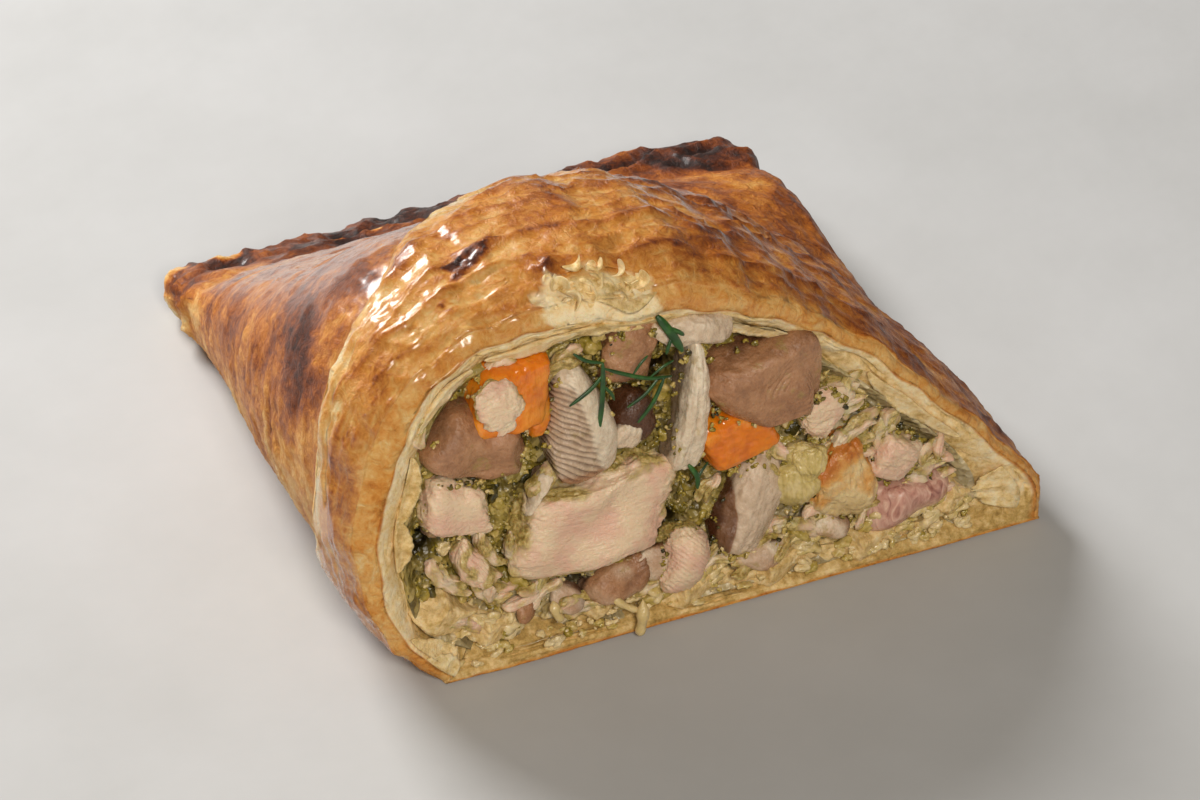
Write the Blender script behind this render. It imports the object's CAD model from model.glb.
"""The looks of half a savoury turnover, cut across and resting on its base.

A glazed crust steps down from a raised band to a pressed tail, and the cut shows flaky dough round chicken,
mushroom, pumpkin and herb sauce. Lengths are in millimetres until a piece is finished. Across runs from the
fold side to the sealed edge, depth from the cut to the closed end, and up from the base.
"""

import math
import random
from functools import partial

import bmesh
import bpy
from mathutils import Matrix, Vector, noise


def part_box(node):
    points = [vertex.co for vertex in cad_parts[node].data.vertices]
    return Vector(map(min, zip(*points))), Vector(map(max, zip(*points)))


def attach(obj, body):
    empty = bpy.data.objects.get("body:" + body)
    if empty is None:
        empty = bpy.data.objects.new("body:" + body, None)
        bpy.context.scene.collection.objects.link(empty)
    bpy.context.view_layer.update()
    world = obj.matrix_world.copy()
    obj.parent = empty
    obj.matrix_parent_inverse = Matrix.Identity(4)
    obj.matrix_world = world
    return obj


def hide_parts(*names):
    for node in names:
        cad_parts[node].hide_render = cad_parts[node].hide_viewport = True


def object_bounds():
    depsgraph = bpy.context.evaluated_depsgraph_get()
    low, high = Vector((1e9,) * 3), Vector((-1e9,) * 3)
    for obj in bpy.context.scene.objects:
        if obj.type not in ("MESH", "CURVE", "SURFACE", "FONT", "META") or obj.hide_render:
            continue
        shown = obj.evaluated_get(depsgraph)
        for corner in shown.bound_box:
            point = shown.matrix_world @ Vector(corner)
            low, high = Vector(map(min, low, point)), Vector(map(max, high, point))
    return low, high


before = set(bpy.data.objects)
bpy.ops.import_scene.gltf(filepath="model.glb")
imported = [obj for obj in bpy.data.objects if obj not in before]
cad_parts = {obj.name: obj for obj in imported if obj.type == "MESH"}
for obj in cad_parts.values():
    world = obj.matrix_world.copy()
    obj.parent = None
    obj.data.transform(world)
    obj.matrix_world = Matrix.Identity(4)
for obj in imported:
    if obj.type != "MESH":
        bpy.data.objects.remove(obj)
CAD_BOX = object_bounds()

noise.seed_set(11)  # noise_vector otherwise starts from the clock

MM = 0.001
CRUST_LOW, CRUST_HIGH = (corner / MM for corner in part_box("crust"))
CRUST_SIZE = CRUST_HIGH - CRUST_LOW

# The crust's driving sizes, as shares of its box: the band bulges a little past the body's width and height.
WIDTH = 0.9923 * CRUST_SIZE.x
DEPTH = 0.9965 * CRUST_SIZE.y
BODY_HEIGHT = 0.9187 * CRUST_SIZE.z
CUT_Y = CRUST_LOW.y
BASE_WALL = 3.8
TOP_WALL = 5.8
CUT_ROOF_RISE = 2.8
ROOF_RISE_END = (0.2, 0.5)
CAVITY_DEPTH = 0.76 * DEPTH
CAVITY_TAPER = 0.30
LIP_THINNING = 0.25
SQUEEZE_LENGTH = 13.0
PRESSED = (0.25, 1.0)
END_ROUNDING = 2.5
END_RIM = 0.6
CORNER_RADIUS = 3.0

# The outline across the crust, from the foot of the fold side over the crown to the sealed edge. Each point:
# across and up at the cut, across and up at the closed end (shares of width and height), then in millimetres
# where the raised band ends, how thick its lip is and how far the rim of the cut is squeezed in.
OUTLINE = [
    (0.120, 0.000, 0.120, 0.00, 38.0, 0.2, 0.4),
    (0.050, 0.170, 0.102, 0.30, 23.0, 1.8, 2.0),
    (0.010, 0.460, 0.098, 0.62, 11.0, 3.0, 3.9),
    (0.030, 0.750, 0.104, 0.88, 11.0, 3.5, 6.0),
    (0.105, 0.925, 0.135, 1.00, 17.0, 3.5, 4.2),
    (0.220, 0.995, 0.240, 1.02, 27.0, 4.2, 4.3),
    (0.370, 0.995, 0.380, 1.00, 37.0, 4.6, 5.7),
    (0.510, 0.910, 0.530, 1.03, 43.0, 4.6, 3.7),
    (0.645, 0.750, 0.660, 1.00, 43.0, 4.0, 2.2),
    (0.795, 0.500, 0.810, 1.04, 40.0, 2.8, 1.2),
    (0.915, 0.260, 0.920, 1.00, 38.0, 1.8, 0.8),
    (0.982, 0.120, 0.978, 0.80, 38.0, 0.8, 0.3),
    (0.990, 0.000, 0.980, 0.00, 38.0, 0.0, 0.0),
]
LAST_ROW = len(OUTLINE) - 1

# The outline of the filling's space: across as a share of the width, up from its floor (0) to its roof (1).
CAVITY = [
    (0.160, 0.000),
    (0.090, 0.13),
    (0.072, 0.42),
    (0.100, 0.74),
    (0.158, 0.915),
    (0.250, 0.95),
    (0.375, 0.965),
    (0.500, 0.89),
    (0.620, 0.735),
    (0.760, 0.47),
    (0.867, 0.21),
    (0.893, 0.07),
    (0.870, 0.00),
]

# Height of the dough at every tenth of the depth, as a share of BODY_HEIGHT.
HEIGHT_PROFILE = [0.985, 1.0, 1.0, 0.95, 0.84, 0.705, 0.57, 0.44, 0.315, 0.205, 0.13]

# Columns of the crust's skin: round the outline, then back along the base.
OUTLINE_COLUMNS = 330
BASE_COLUMNS = 80


# Shared mathematics


def catmull_rom(before, start, end, after, t):
    """A smooth value between start and end, where t runs from 0 to 1."""
    a = 2 * start
    b = end - before
    c = 2 * before - 5 * start + 4 * end - after
    d = -before + 3 * start - 3 * end + after
    return 0.5 * (a + b * t + c * t * t + d * t * t * t)


def along(values, position):
    """Reads evenly spaced values at a fractional index, on a smooth curve through them."""
    last = len(values) - 1
    index = min(int(position), last - 1)
    t = position - index
    before = values[max(index - 1, 0)]
    after = values[min(index + 2, last)]
    return catmull_rom(before, values[index], values[index + 1], after, t)


def columns(table, position):
    return [along(column, position) for column in zip(*table)]


def lerp(a, b, t):
    return a + (b - a) * t


def clamp(value, low=0.0, high=1.0):
    return min(max(value, low), high)


def smoothstep(low, high, value):
    t = clamp((value - low) / (high - low))
    return t * t * (3 - 2 * t)


def bell(distance):
    """A soft spot: 1 at no distance, near 0 from 1 on."""
    return math.exp(-3.0 * distance * distance)


def grain(place, size, seed=0.0):
    """Smooth noise between about -1 and 1, whose bumps are about size across."""
    return noise.noise(place / size + Vector((seed * 17.3, seed * 5.1, seed * 9.7)))


def rough(place, size, seed=0.0, octaves=4):
    """Noise with finer noise on it."""
    offset = Vector((seed * 7.9, seed * 13.7, seed * 3.3))
    return noise.fractal(place / size + offset, 0.9, 2.1, octaves)


def ridges(place, size, seed=0.0):
    """Narrow crests between broad hollows, from 0 to 1."""
    return (1 - min(abs(grain(place, size, seed)) * 1.9, 1.0)) ** 2


def scaled(place, x=1.0, y=1.0, z=1.0):
    """The place with its axes scaled: noise read there is drawn out along an axis whose share is small."""
    return Vector((x * place.x, y * place.y, z * place.z))


# The crust's form


def body_height(y):
    return BODY_HEIGHT * along(HEIGHT_PROFILE, 10 * clamp(y / DEPTH))


def rounding(y, radius):
    """Falls from 1 to 0 along a quarter circle over the last stretch before the closed end."""
    t = clamp((y - DEPTH + radius) / radius)
    return math.sqrt(1 - t * t)


def squeezed(y):
    """Falls from 1 at the cut to 0, along a quarter circle."""
    return 1 - math.sqrt(1 - clamp(1 - y / SQUEEZE_LENGTH) ** 2)


def crust_point(row, y):
    """A point of the dough below the band's thickness. row is one of columns(OUTLINE, position)."""
    pressed = smoothstep(*PRESSED, y / DEPTH)
    x = WIDTH * lerp(row[0], row[2], pressed)
    z = body_height(y) * lerp(row[1], row[3], pressed * pressed)
    z *= lerp(END_RIM, 1.0, rounding(y, END_ROUNDING))
    x += CORNER_RADIUS * (1 - rounding(y, CORNER_RADIUS)) * (1 - 2 * x / WIDTH)
    return Vector((x, y, max(z, 0.0)))


class Column:
    """One place round the outline, with what the crust's stretches need there."""

    def __init__(self, position):
        step = 0.05
        self.position = position
        self.row = columns(OUTLINE, position)
        self.before = columns(OUTLINE, max(position - step, 0.0))
        self.after = columns(OUTLINE, min(position + step, LAST_ROW))
        self.cavity = columns(CAVITY, position)
        wander = Vector((position * 1.1, 0.0, 0.0))
        side = smoothstep(0.0, 1.0, position) * smoothstep(LAST_ROW, LAST_ROW - 1, position)
        self.lip_end = self.row[4] + side * (1.6 * noise.noise(wander) + 0.7 * noise.noise(4.1 * wander))
        self.lip = max(self.row[5], 0.0) * (1 + 0.3 * side * noise.noise(2.3 * wander))
        self.squeeze = self.row[6]
        self.open_side = 0 < position < LAST_ROW

    def outward(self, y):
        tangent = crust_point(self.after, y) - crust_point(self.before, y)
        return Vector((-tangent.z, 0.0, tangent.x)).normalized()

    def surface(self, y, thickness=0.0):
        """A point of the crust's outside, that much above the body."""
        point = crust_point(self.row, y)
        if self.open_side:
            point += self.outward(y) * thickness
        return Vector((point.x, point.y, max(point.z, 0.0)))

    def band(self, share):
        """A point of the band, from its lip (1) to the cut (0)."""
        y = (self.lip_end - 0.6) * share
        fullness = 1 - LIP_THINNING * share**4
        return self.surface(y, self.lip * fullness - self.squeeze * squeezed(y))

    def inner(self, y):
        """A point of the filling's space."""
        taper = 1 - CAVITY_TAPER * (y / CAVITY_DEPTH) ** 2
        rise = CUT_ROOF_RISE * (1 - smoothstep(*ROOF_RISE_END, y / DEPTH))
        roof = body_height(y) - TOP_WALL + rise
        across, up = self.cavity
        x = 0.5 * WIDTH + (WIDTH * across - 0.5 * WIDTH) * taper
        return Vector((x, y, lerp(BASE_WALL, roof, max(up, 0.0))))


def outline_columns():
    return [Column(LAST_ROW * i / OUTLINE_COLUMNS) for i in range(OUTLINE_COLUMNS + 1)]


COLUMNS = outline_columns()
LEFT = CRUST_LOW.x - min(column.band(0.9).x for column in COLUMNS)


def in_world(point):
    """From across, depth and up to the frame's axes, still in millimetres."""
    return Vector((point.x + LEFT, point.y + CUT_Y, point.z))


# The crust's skin is one closed sheet in seven stretches, from the closed end along the outside to the cut,
# over the cut dough and back inside. Each gives its points for a place round the outline and a share of its
# length.

LIP_BULGE = 0.5  # how far the lip's rounded edge stands back over the tail
LIP_UNDERCUT = 1.3  # how far under itself the lip meets the tail
RIM_RADIUS = 1.1  # of the rounded edge between the skin and the cut
CUT_DISH = 2.6  # how far the dough falls back towards the filling


def end_point(column, share):
    edge = column.surface(DEPTH)
    middle = Vector((lerp(0.5 * WIDTH, edge.x, 0.86), DEPTH + 0.2, 0.5 * END_RIM * body_height(DEPTH)))
    return middle.lerp(edge, lerp(0.12, 1.0, share))


def tail_point(column, share):
    foot = column.lip_end - LIP_UNDERCUT
    return column.surface(lerp(DEPTH, foot, share**0.9))


def lip_point(column, share):
    height = 0.5 - 0.5 * math.cos(math.pi * share)
    y = column.lip_end - LIP_UNDERCUT * (1 - share) - 0.6 * share + LIP_BULGE * math.sin(math.pi * share)
    return column.surface(y, column.lip * (1 - LIP_THINNING) * height)


def band_point(column, share):
    return column.band(lerp(1.0, RIM_RADIUS / column.lip_end, share))


def rim_point(column, share):
    angle = 0.5 * math.pi * share
    outer = column.band(RIM_RADIUS / column.lip_end * (1 - math.sin(angle)))
    inner = column.inner(0.0)
    inward = inner - outer
    inward.y = 0.0
    return outer + inward.normalized() * RIM_RADIUS * (1 - math.cos(angle)) * (1 if column.open_side else 0.4)


def cut_point(column, share):
    outer = rim_point(column, 1.0)
    inner = column.inner(0.0)
    ragged = 1.0 * noise.noise(Vector((column.position * 3.0, 1.7, 0.0))) * share**2
    point = outer.lerp(inner, share)
    point += (inner - outer).normalized() * ragged
    point.y = CUT_DISH * share**1.4
    return point


def inside_point(column, share):
    edge = cut_point(column, 1.0)
    if share <= 0.25:
        return edge.lerp(column.inner(0.25 * CAVITY_DEPTH), share / 0.25)
    return column.inner(CAVITY_DEPTH * share)


STRETCHES = [
    ("end", end_point, 16),
    ("tail", tail_point, 104),
    ("lip", lip_point, 11),
    ("band", band_point, 66),
    ("rim", rim_point, 7),
    ("cut", cut_point, 26),
    ("inside", inside_point, 6),
]


def on_base(first, last, share):
    """A point of the flat base or of what lies over it, between the feet of a ring."""
    return last.lerp(first, share)


# Meshes

BOX_MARGIN = 0.02
SEAM_GAP = 0.0005  # what counts as one point along the seam of a closed skin


def new_bmesh(names):
    """An empty bmesh with a float layer on its vertices for each name."""
    bm = bmesh.new()
    return bm, {name: bm.verts.layers.float.new(name) for name in names}


def add_sheet(bm, across_count, along_count):
    """Adds a flat grid. Gives each vertex's place in it, as two shares from 0 to 1."""
    made = bmesh.ops.create_grid(bm, x_segments=across_count, y_segments=along_count, size=0.5)
    return {vert: (vert.co.x + 0.5, vert.co.y + 0.5) for vert in made["verts"]}


def close_ends(bm):
    """Fills the open ends that are left after a grid is rolled up."""
    edges = [edge for edge in bm.edges if edge.is_boundary]
    made = bmesh.ops.holes_fill(bm, edges=edges, sides=0)
    bmesh.ops.triangulate(bm, faces=made["faces"])


def face_outwards(bm):
    bmesh.ops.recalc_face_normals(bm, faces=bm.faces)
    if bm.calc_volume(signed=True) < 0:
        bmesh.ops.reverse_faces(bm, faces=bm.faces)


def seal(bm, distance):
    """Merges what rolled-up sheets leave double, closes their ends and turns their faces outwards."""
    bmesh.ops.remove_doubles(bm, verts=bm.verts, dist=distance)
    close_ends(bm)
    face_outwards(bm)


def keep_in_box(bm):
    """Holds every vertex inside the CAD model's box."""
    low = CAD_BOX[0] / MM + Vector((BOX_MARGIN,) * 3)
    high = CAD_BOX[1] / MM - Vector((BOX_MARGIN,) * 3)
    low.z = 0.0
    for vert in bm.verts:
        vert.co = Vector([clamp(vert.co[i], low[i], high[i]) for i in range(3)])


def add_object(name, data):
    thing = bpy.data.objects.new(name, data)
    bpy.context.scene.collection.objects.link(thing)
    return thing


def add_piece(name, bm, finish, nodes=()):
    """Turns a bmesh in millimetres on the frame's axes into a finished piece of the model."""
    keep_in_box(bm)
    bmesh.ops.scale(bm, vec=(MM, MM, MM), verts=bm.verts)
    mesh = bpy.data.meshes.new(name)
    bm.to_mesh(mesh)
    bm.free()
    mesh.shade_smooth()
    mesh.materials.append(finish.material)
    piece = add_object(name, mesh)
    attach(piece, "root")
    if nodes:
        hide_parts(*nodes)


# Finishes


class Value:
    """A shader socket that can be used in sums: an expression on values adds its Math nodes."""

    def __init__(self, finish, socket):
        self.finish = finish
        self.socket = socket

    def math(self, operation, first, second):
        return self.finish.node("ShaderNodeMath", {"operation": operation}, {0: first, 1: second})

    def __add__(self, other):
        return self.math("ADD", self, other)

    def __sub__(self, other):
        return self.math("SUBTRACT", self, other)

    def __rsub__(self, other):
        return self.math("SUBTRACT", other, self)

    def __mul__(self, other):
        return self.math("MULTIPLY", self, other)

    __radd__ = __add__
    __rmul__ = __mul__


class Finish:
    """A procedural material that ends in a Principled shader."""

    def __init__(self, name):
        self.material = bpy.data.materials.new(name)
        self.material.use_nodes = True
        self.tree = self.material.node_tree
        self.tree.nodes.clear()
        output = self.tree.nodes.new("ShaderNodeOutputMaterial")
        self.shader = self.tree.nodes.new("ShaderNodeBsdfPrincipled")
        self.tree.links.new(self.shader.outputs[0], output.inputs[0])
        self.place = self.node("ShaderNodeTexCoord", {}, {}, "Object")

    def fill(self, node, sockets):
        for name, value in sockets.items():
            if isinstance(value, Value):
                self.tree.links.new(value.socket, node.inputs[name])
            else:
                node.inputs[name].default_value = value

    def node(self, kind, settings, sockets, output=0):
        """Any node: its settings first, then its sockets' values or links."""
        node = self.tree.nodes.new(kind)
        for name, value in settings.items():
            if name == "stops":
                self.set_stops(node.color_ramp.elements, value)
            else:
                setattr(node, name, value)
        self.fill(node, sockets)
        return Value(self, node.outputs[output])

    def set_stops(self, elements, stops):
        while len(elements) < len(stops):
            elements.new(1.0)
        for element, (position, colour) in zip(elements, stops):
            element.position = position
            element.color = (*colour, 1.0)

    def shade(self, **sockets):
        """Sets the shader's own sockets, with _ for each space in a name."""
        self.fill(self.shader, {name.replace("_", " "): value for name, value in sockets.items()})

    def attribute(self, name):
        return self.node("ShaderNodeAttribute", {"attribute_name": name}, {}, "Fac")

    def stretched(self, stretch, turn=(0.0, 0.0, 0.0)):
        return self.node(
            "ShaderNodeMapping", {}, {"Vector": self.place, "Scale": stretch, "Rotation": turn}
        )

    def noise(self, size, detail=3.0, roughness=0.55, place=None, warp=0.0):
        """Cloudy noise from 0 to 1, with bumps about size across, in millimetres."""
        sockets = {
            "Vector": place or self.place,
            "Scale": 1 / (size * MM),
            "Detail": detail,
            "Roughness": roughness,
            "Distortion": warp,
        }
        return self.node("ShaderNodeTexNoise", {}, sockets)

    def cells(self, size, output="Distance"):
        sockets = {"Vector": self.place, "Scale": 1 / (size * MM)}
        return self.node("ShaderNodeTexVoronoi", {}, sockets, output)

    def mask(self, value, low, high):
        """0 where value is under low, 1 where it is over high."""
        settings = {"interpolation_type": "SMOOTHSTEP"}
        return self.node("ShaderNodeMapRange", settings, {0: value, 1: low, 2: high})

    def ramp(self, value, stops):
        return self.node("ShaderNodeValToRGB", {"stops": stops}, {0: value})

    def mix(self, share, first, second):
        """The first colour where share is 0, the second where it is 1."""
        first, second = (c if isinstance(c, Value) else (*c, 1.0) for c in (first, second))
        return self.node("ShaderNodeMix", {"data_type": "RGBA"}, {0: share, 6: first, 7: second}, 2)

    def tint(self, share, first, second):
        """As mix, but the second colour multiplies the first."""
        settings = {"data_type": "RGBA", "blend_type": "MULTIPLY"}
        return self.node("ShaderNodeMix", settings, {0: share, 6: first, 7: (*second, 1.0)}, 2)

    def bump(self, height, depth, under=None):
        sockets = {"Height": height, "Distance": depth * MM, "Strength": 1.0}
        if under:
            sockets["Normal"] = under
        return self.node("ShaderNodeBump", {}, sockets)

    def soften(self, weight, colour, reach):
        """Lets light soak in: how much, how far in red, green and blue, and the reach in millimetres."""
        self.shade(Subsurface_Weight=weight, Subsurface_Radius=colour, Subsurface_Scale=reach * MM)


# Baked dough, from raw-looking cream through gold to burnt.
BAKED = [
    (0.00, (0.82, 0.64, 0.34)),
    (0.18, (0.75, 0.43, 0.135)),
    (0.36, (0.64, 0.265, 0.048)),
    (0.52, (0.45, 0.138, 0.017)),
    (0.68, (0.23, 0.055, 0.009)),
    (0.84, (0.090, 0.021, 0.007)),
    (1.00, (0.024, 0.010, 0.007)),
]


# The cut dough, from dry and pale to soaked.
DOUGH = [
    (0.22, (0.94, 0.78, 0.50)),
    (0.46, (0.88, 0.64, 0.31)),
    (0.70, (0.60, 0.385, 0.125)),
    (0.95, (0.28, 0.165, 0.042)),
]


def make_crust_finish():
    """Glazed pastry, browned by tone: cut open where dough is 1, soaked where moist is, matt where dull is."""
    finish = Finish("baked_crust")
    tone = finish.attribute("tone")
    dough = finish.attribute("dough")
    moist = finish.attribute("moist")
    clouds = finish.noise(5.0, 6.0, 0.62, warp=0.6)
    mottles = finish.noise(1.7, 5.0, 0.68, warp=1.2)
    specks = finish.noise(0.5, 3.0, 0.7)
    browned = tone + (clouds - 0.5) * 0.72 + (mottles - 0.5) * 0.56 + (specks - 0.5) * 0.26
    baked = finish.ramp(browned, BAKED)
    crumb_shade = finish.noise(1.3, 5.0, 0.7) * 1.2 - 0.15 + (moist - 0.35) * 0.40
    crumb = finish.ramp(crumb_shade, DOUGH)
    colour = finish.mix(dough, baked, crumb)
    glaze = finish.mask(finish.noise(7.0, 3.0), 0.28, 0.52) * (1 - dough)
    dull = finish.attribute("dull")
    fine = finish.bump(finish.noise(0.45, 3.0, 0.7), 0.09)
    grained = finish.bump(mottles, 0.45, fine)
    finish.shade(
        Base_Color=colour,
        Roughness=0.44 + dough * 0.08 - glaze * 0.20 - moist * 0.15 + dull * 0.34,
        Specular_IOR_Level=0.18,
        Coat_Weight=glaze * (1 - dull) * 0.95,
        Coat_Roughness=0.20,
        Normal=grained,
    )
    finish.soften(0.12, (1.0, 0.5, 0.2), 1.2)
    return finish


def make_filling_finish():
    """Chopped herbs, soft cheese and meat juices, cooked down."""
    finish = Finish("herb_filling")
    bits = finish.cells(1.5, "Color")
    tone = finish.node("ShaderNodeSeparateColor", {}, {0: bits}, 0)
    clouds = finish.noise(6.0, 4.0, 0.6)
    shade = tone * 0.55 + clouds * 0.75 - 0.12
    colour = finish.ramp(
        shade,
        [
            (0.05, (0.055, 0.038, 0.010)),
            (0.28, (0.17, 0.118, 0.020)),
            (0.50, (0.34, 0.25, 0.050)),
            (0.72, (0.55, 0.41, 0.12)),
            (0.95, (0.80, 0.64, 0.36)),
        ],
    )
    cream = finish.ramp(
        shade, [(0.1, (0.30, 0.22, 0.10)), (0.4, (0.62, 0.49, 0.25)), (0.8, (0.78, 0.66, 0.44))]
    )
    colour = finish.mix(finish.attribute("pale") * 0.8, colour, cream)
    deep = finish.attribute("deep")
    colour = finish.tint(deep, colour, (0.05, 0.034, 0.018))
    fine = finish.bump(finish.noise(0.5, 3.0, 0.7), 0.12)
    finish.shade(
        Base_Color=colour,
        Roughness=0.16 + clouds * 0.28,
        Specular_IOR_Level=0.8,
        Normal=finish.bump(finish.cells(1.1), 0.5, fine),
    )
    finish.soften(0.15, (1.0, 0.7, 0.2), 1.0)
    return finish


def make_sauce_finish():
    """The loose bits in the sauce. shade runs from dark herb through olive to pale cheese."""
    finish = Finish("sauce_bits")
    shade = finish.attribute("shade") + (finish.noise(0.9, 3.0) - 0.5) * 0.35
    colour = finish.ramp(
        shade,
        [
            (0.00, (0.028, 0.024, 0.006)),
            (0.22, (0.15, 0.110, 0.014)),
            (0.45, (0.36, 0.262, 0.034)),
            (0.68, (0.58, 0.42, 0.125)),
            (1.00, (0.80, 0.61, 0.32)),
        ],
    )
    finish.shade(
        Base_Color=colour,
        Roughness=0.20,
        Specular_IOR_Level=0.7,
        Normal=finish.bump(finish.noise(0.3, 2.0), 0.14),
    )
    finish.soften(0.2, (1.0, 0.8, 0.3), 1.0)
    return finish


def make_chicken_finish():
    """Cooked chicken: fine fibres, pink in the middle, with sauce caught along its edges."""
    finish = Finish("cooked_chicken")
    fibres = finish.noise(0.45, 3.0, 0.6, finish.stretched((0.3, 1.0, 1.0)))
    clouds = finish.noise(4.5, 3.0)
    sauced = finish.attribute("sauced")
    flesh = finish.mix(finish.mask(clouds, 0.38, 0.66), (0.88, 0.68, 0.47), (0.84, 0.54, 0.40))
    flesh = finish.tint(fibres * 0.4, flesh, (0.80, 0.64, 0.46))
    freckles = finish.mask(finish.noise(1.1, 4.0, 0.7), 0.55, 0.75) * 0.35
    flesh = finish.tint(freckles, flesh, (0.75, 0.55, 0.36))
    stain = finish.mask(sauced + (finish.noise(1.6, 4.0) - 0.5) * 0.9, 0.35, 0.8)
    sauce = finish.ramp(
        finish.noise(0.8, 4.0, 0.65),
        [(0.35, (0.26, 0.17, 0.035)), (0.52, (0.52, 0.37, 0.11)), (0.70, (0.76, 0.59, 0.28))],
    )
    colour = finish.mix(stain, flesh, sauce)
    finish.shade(
        Base_Color=colour,
        Roughness=0.10 + finish.noise(2.6, 3.0) * 0.44,
        Specular_IOR_Level=0.7,
        Normal=finish.bump(fibres, 0.20, finish.bump(finish.noise(0.4, 3.0, 0.65), 0.14)),
    )
    finish.soften(0.3, (1.0, 0.45, 0.3), 1.5)
    return finish


def make_mushroom_finish():
    """Mushroom: brown skin where skin is 1, pale flesh where it is 0, and darker in its folds."""
    finish = Finish("cooked_mushroom")
    skin = finish.attribute("skin")
    fold = finish.attribute("fold")
    streaks = finish.noise(1.2, 4.0, 0.6)
    clouds = finish.noise(5.0, 3.0)
    brown = finish.ramp(
        clouds * 0.5 + streaks * 0.3 + finish.noise(0.45, 4.0, 0.7) * 0.2,
        [(0.30, (0.22, 0.095, 0.042)), (0.5, (0.43, 0.205, 0.095)), (0.75, (0.61, 0.335, 0.17))],
    )
    pale = finish.ramp(
        clouds * 0.4 + streaks * 0.6, [(0.3, (0.66, 0.49, 0.32)), (0.6, (0.88, 0.74, 0.56))]
    )
    colour = finish.mix(finish.mask(skin, 0.3, 0.7), pale, brown)
    smear = finish.mask(finish.noise(3.2, 5.0, 0.65), 0.58, 0.68) * 0.55
    colour = finish.mix(smear, colour, (0.40, 0.28, 0.075))
    colour = finish.tint(fold, colour, (0.16, 0.10, 0.07))
    fine = finish.bump(finish.noise(0.4, 4.0, 0.7), 0.15)
    finish.shade(
        Base_Color=colour,
        Roughness=0.07 + streaks * 0.38,
        Specular_IOR_Level=0.7,
        Normal=finish.bump(streaks, 0.26, fine),
    )
    finish.soften(0.18, (1.0, 0.6, 0.4), 1.2)
    return finish


def make_pumpkin_finish():
    """Cooked pumpkin, wet and see-through at its edges."""
    finish = Finish("cooked_pumpkin")
    clouds = finish.noise(3.5, 3.0)
    colour = finish.ramp(
        clouds, [(0.30, (0.62, 0.13, 0.004)), (0.52, (0.84, 0.22, 0.006)), (0.75, (0.93, 0.34, 0.025))]
    )
    fibres = finish.noise(0.5, 2.0, 0.5, finish.stretched((1.0, 1.0, 0.3)))
    finish.shade(
        Base_Color=colour,
        Roughness=0.18,
        Specular_IOR_Level=0.8,
        Normal=finish.bump(fibres, 0.12, finish.bump(clouds, 0.4)),
    )
    finish.soften(0.35, (1.0, 0.35, 0.05), 2.5)
    return finish


def make_leek_finish():
    """Soft leek, pale along its fibres."""
    finish = Finish("soft_leek")
    fibres = finish.noise(0.6, 3.0, 0.6, finish.stretched((1.0, 1.0, 0.25)))
    colour = finish.ramp(
        fibres * 0.5 + finish.noise(3.0, 3.0) * 0.5,
        [(0.3, (0.34, 0.255, 0.065)), (0.5, (0.62, 0.47, 0.17)), (0.7, (0.80, 0.64, 0.34))],
    )
    finish.shade(
        Base_Color=colour,
        Roughness=0.3,
        Normal=finish.bump(fibres, 0.14),
    )
    finish.soften(0.3, (1.0, 0.9, 0.3), 1.5)
    return finish


def make_ham_finish():
    """Cured meat with darker veins."""
    finish = Finish("cooked_ham")
    veins = finish.noise(1.4, 4.0, 0.6, finish.stretched((1.0, 1.0, 0.45)), 1.2)
    colour = finish.ramp(
        veins, [(0.30, (0.30, 0.115, 0.085)), (0.48, (0.56, 0.285, 0.215)), (0.68, (0.76, 0.50, 0.38))]
    )
    finish.shade(
        Base_Color=colour,
        Roughness=0.3,
        Normal=finish.bump(veins, 0.15),
    )
    finish.soften(0.3, (1.0, 0.4, 0.3), 1.5)
    return finish


def make_crouton_finish():
    """Bread soaked with juice below and toasted on top."""
    finish = Finish("soaked_crouton")
    shade = finish.attribute("shade") + (finish.noise(1.5, 4.0) - 0.5) * 0.6
    colour = finish.ramp(
        shade,
        [
            (0.10, (0.66, 0.46, 0.20)),
            (0.45, (0.80, 0.60, 0.30)),
            (0.70, (0.72, 0.36, 0.09)),
            (0.95, (0.55, 0.17, 0.02)),
        ],
    )
    finish.shade(
        Base_Color=colour,
        Roughness=0.28,
        Specular_IOR_Level=0.7,
        Normal=finish.bump(finish.noise(0.8, 4.0), 0.4),
    )
    finish.soften(0.2, (1.0, 0.6, 0.2), 1.5)
    return finish


def make_dill_finish():
    """Fresh dill, dark and slightly waxy."""
    finish = Finish("fresh_dill")
    clouds = finish.noise(1.5, 3.0)
    colour = finish.ramp(
        clouds, [(0.3, (0.008, 0.035, 0.006)), (0.55, (0.020, 0.085, 0.012)), (0.8, (0.05, 0.16, 0.02))]
    )
    finish.shade(
        Base_Color=colour,
        Roughness=0.38,
        Coat_Weight=0.3,
        Coat_Roughness=0.2,
        Normal=finish.bump(finish.noise(0.3, 2.0), 0.04),
    )
    return finish


def make_floor_finish():
    finish = Finish("pale_floor")
    clouds = finish.noise(60.0, 5.0, 0.6)
    colour = finish.ramp(clouds, [(0.3, (0.47, 0.47, 0.465)), (0.7, (0.53, 0.53, 0.53))])
    finish.shade(Base_Color=colour, Roughness=0.75, Normal=finish.bump(clouds, 0.5))
    return finish


# The crust


DOUGH_LAYERS = ["tone", "dough", "moist"]
BORDER_START = 17.0  # how far from the closed end its pressed border begins to show
BORDER_FULL = 10.0  # and where it is complete
MATT_TAIL, MATT_FAR_SLOPE, MATT_BORDER = 0.85, 0.75, 0.6
FOOT_HEIGHT = 3.0  # below this the relief dies out, so that the base stays flat


def spot(column, y, centre, spread):
    """A soft spot on the skin: its centre and spread are round the outline and in depth."""
    return bell(math.hypot((column.position - centre[0]) / spread[0], (y - centre[1]) / spread[1]))


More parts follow.
